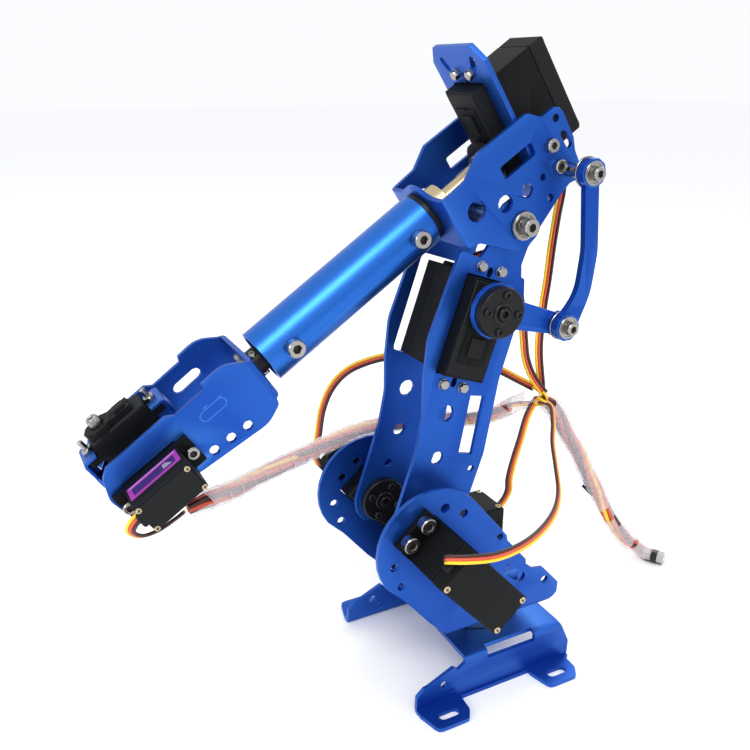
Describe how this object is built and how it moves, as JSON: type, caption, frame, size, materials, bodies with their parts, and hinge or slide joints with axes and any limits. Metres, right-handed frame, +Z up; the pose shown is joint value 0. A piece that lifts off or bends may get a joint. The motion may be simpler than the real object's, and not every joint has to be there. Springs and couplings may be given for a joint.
{
  "type": "servo robot arm",
  "caption": "Desktop robot arm: folded blue brackets on a yaw turntable, paired shoulder servos, four-bar elbow, rolling tube forearm and a pitching wrist with an output shaft.",
  "frame": {"origin": "on the floor plane, under the middle of the arm's box without its cords", "axes": "+X forward, the way the forearm points; +Y to the arm's left side; +Z up"},
  "size_m": [0.307, 0.1256, 0.2767],
  "materials": {
    "blue_anodised": "satin blue anodised",
    "black_plastic": "moulded, fine texture",
    "black_horn": "satin black anodised",
    "steel": "plain stainless",
    "brass": "turned",
    "spiral_wrap": "translucent spiral wrap over wires",
    "wire_insulation": "three-colour flat ribbon"
  },
  "bodies": {
    "stand": {"stand_bracket": "blue_anodised", "turntable_lower_ring": "steel", "yaw_hub": "black_horn"},
    "turret": {"turret_bracket": "blue_anodised", "turntable_upper_ring": "steel", "yaw_servo_bridge": "blue_anodised", "yaw_servo_case": "black_plastic", "yaw_servo_cover": "black_plastic", "shoulder_left_servo_case": "black_plastic", "shoulder_left_servo_cover": "black_plastic", "shoulder_right_servo_case": "black_plastic", "shoulder_right_servo_cover": "black_plastic", "lead_shoulder_left": "wire_insulation", "lead_shoulder_right": "wire_insulation", "lead_yaw": "wire_insulation", "harness_main": "spiral_wrap", "harness_plug": "black_plastic"},
    "upper_arm": {"upper_arm_plate_left": "blue_anodised", "upper_arm_plate_right": "blue_anodised", "shoulder_horn_left": "black_horn", "shoulder_horn_right": "black_horn", "elbow_servo_case": "black_plastic", "elbow_servo_cover": "black_plastic", "elbow_spacer": "steel", "elbow_pivot_bolt": "steel", "lead_elbow": "wire_insulation", "lead_roll": "wire_insulation", "gripper_loom": "spiral_wrap"},
    "crank": {"crank_arm": "blue_anodised", "elbow_horn": "black_horn", "crank_pivot_bolt": "steel"},
    "link": {"link_rod": "blue_anodised"},
    "forearm": {"forearm_bracket": "blue_anodised", "elbow_bearing_left": "steel", "elbow_bearing_right": "steel", "link_pivot_bolt": "steel", "roll_servo_plate": "blue_anodised", "roll_servo_case": "black_plastic", "roll_servo_cover": "black_plastic", "tube_bearing": "black_horn", "gripper_loom_end": "spiral_wrap"},
    "wrist": {"roll_horn": "black_horn", "tube_drive_shaft": "brass", "forearm_tube": "blue_anodised", "tube_screw_1": "steel", "tube_screw_2": "steel", "wrist_coupler": "black_horn", "wrist_bracket": "blue_anodised", "pitch_servo_case": "black_plastic", "pitch_servo_cover": "black_plastic", "lead_pitch": "wire_insulation"},
    "tool_mount": {"tool_cradle": "blue_anodised", "pitch_horn": "black_horn", "tool_pivot_bolt": "steel", "tool_servo_case": "black_plastic", "tool_servo_cover": "black_plastic"},
    "tool_shaft": {"tool_spline_shaft": "steel"}
  },
  "joints": [
    {"name": "yaw", "type": "hinge", "parent": "stand", "child": "turret", "pos_m": [-0.06673, 0, 0.045], "axis": [0, 0, 1], "range_deg": [-90, 90]},
    {"name": "shoulder", "type": "hinge", "parent": "turret", "child": "upper_arm", "pos_m": [-0.02573, 0, 0.0798], "axis": [0, -1, 0], "range_deg": [-40, 45], "deforming": ["lead_shoulder_left", "lead_shoulder_right", "lead_yaw", "harness_main"]},
    {"name": "elbow", "type": "hinge", "parent": "upper_arm", "child": "forearm", "pos_m": [-0.06953, 0, 0.20729], "axis": [0, -1, 0], "range_deg": [-2, 37], "deforming": ["lead_roll", "gripper_loom"]},
    {"name": "elbow_crank", "type": "hinge", "parent": "upper_arm", "child": "crank", "pos_m": [-0.05263, 0, 0.17688], "axis": [0, -1, 0], "range_deg": [-2, 26]},
    {"name": "elbow_link", "type": "hinge", "parent": "crank", "child": "link", "pos_m": [-0.08423, 0, 0.1672], "axis": [0, -1, 0], "range_deg": [-9, 1]},
    {"name": "forearm_roll", "type": "hinge", "parent": "forearm", "child": "wrist", "pos_m": [-0.05779, 0, 0.2247], "axis": [0.829, 0, -0.5592], "range_deg": [-90, 90], "deforming": ["gripper_loom_end"]},
    {"name": "wrist_pitch", "type": "hinge", "parent": "wrist", "child": "tool_mount", "pos_m": [0.08389, 0, 0.12841], "axis": [0, -1, 0], "range_deg": [-90, 90]},
    {"name": "tool_spin", "type": "hinge", "parent": "tool_mount", "child": "tool_shaft", "pos_m": [0.08138, 0, 0.12612], "axis": [0.5592, 0, 0.829], "range_deg": [-90, 90]}
  ],
  "couplings": [
    {"joint": "elbow_crank", "follows": "elbow", "ratio": 0.6605},
    {"joint": "elbow_link", "follows": "elbow", "ratio": -0.2332}
  ]
}
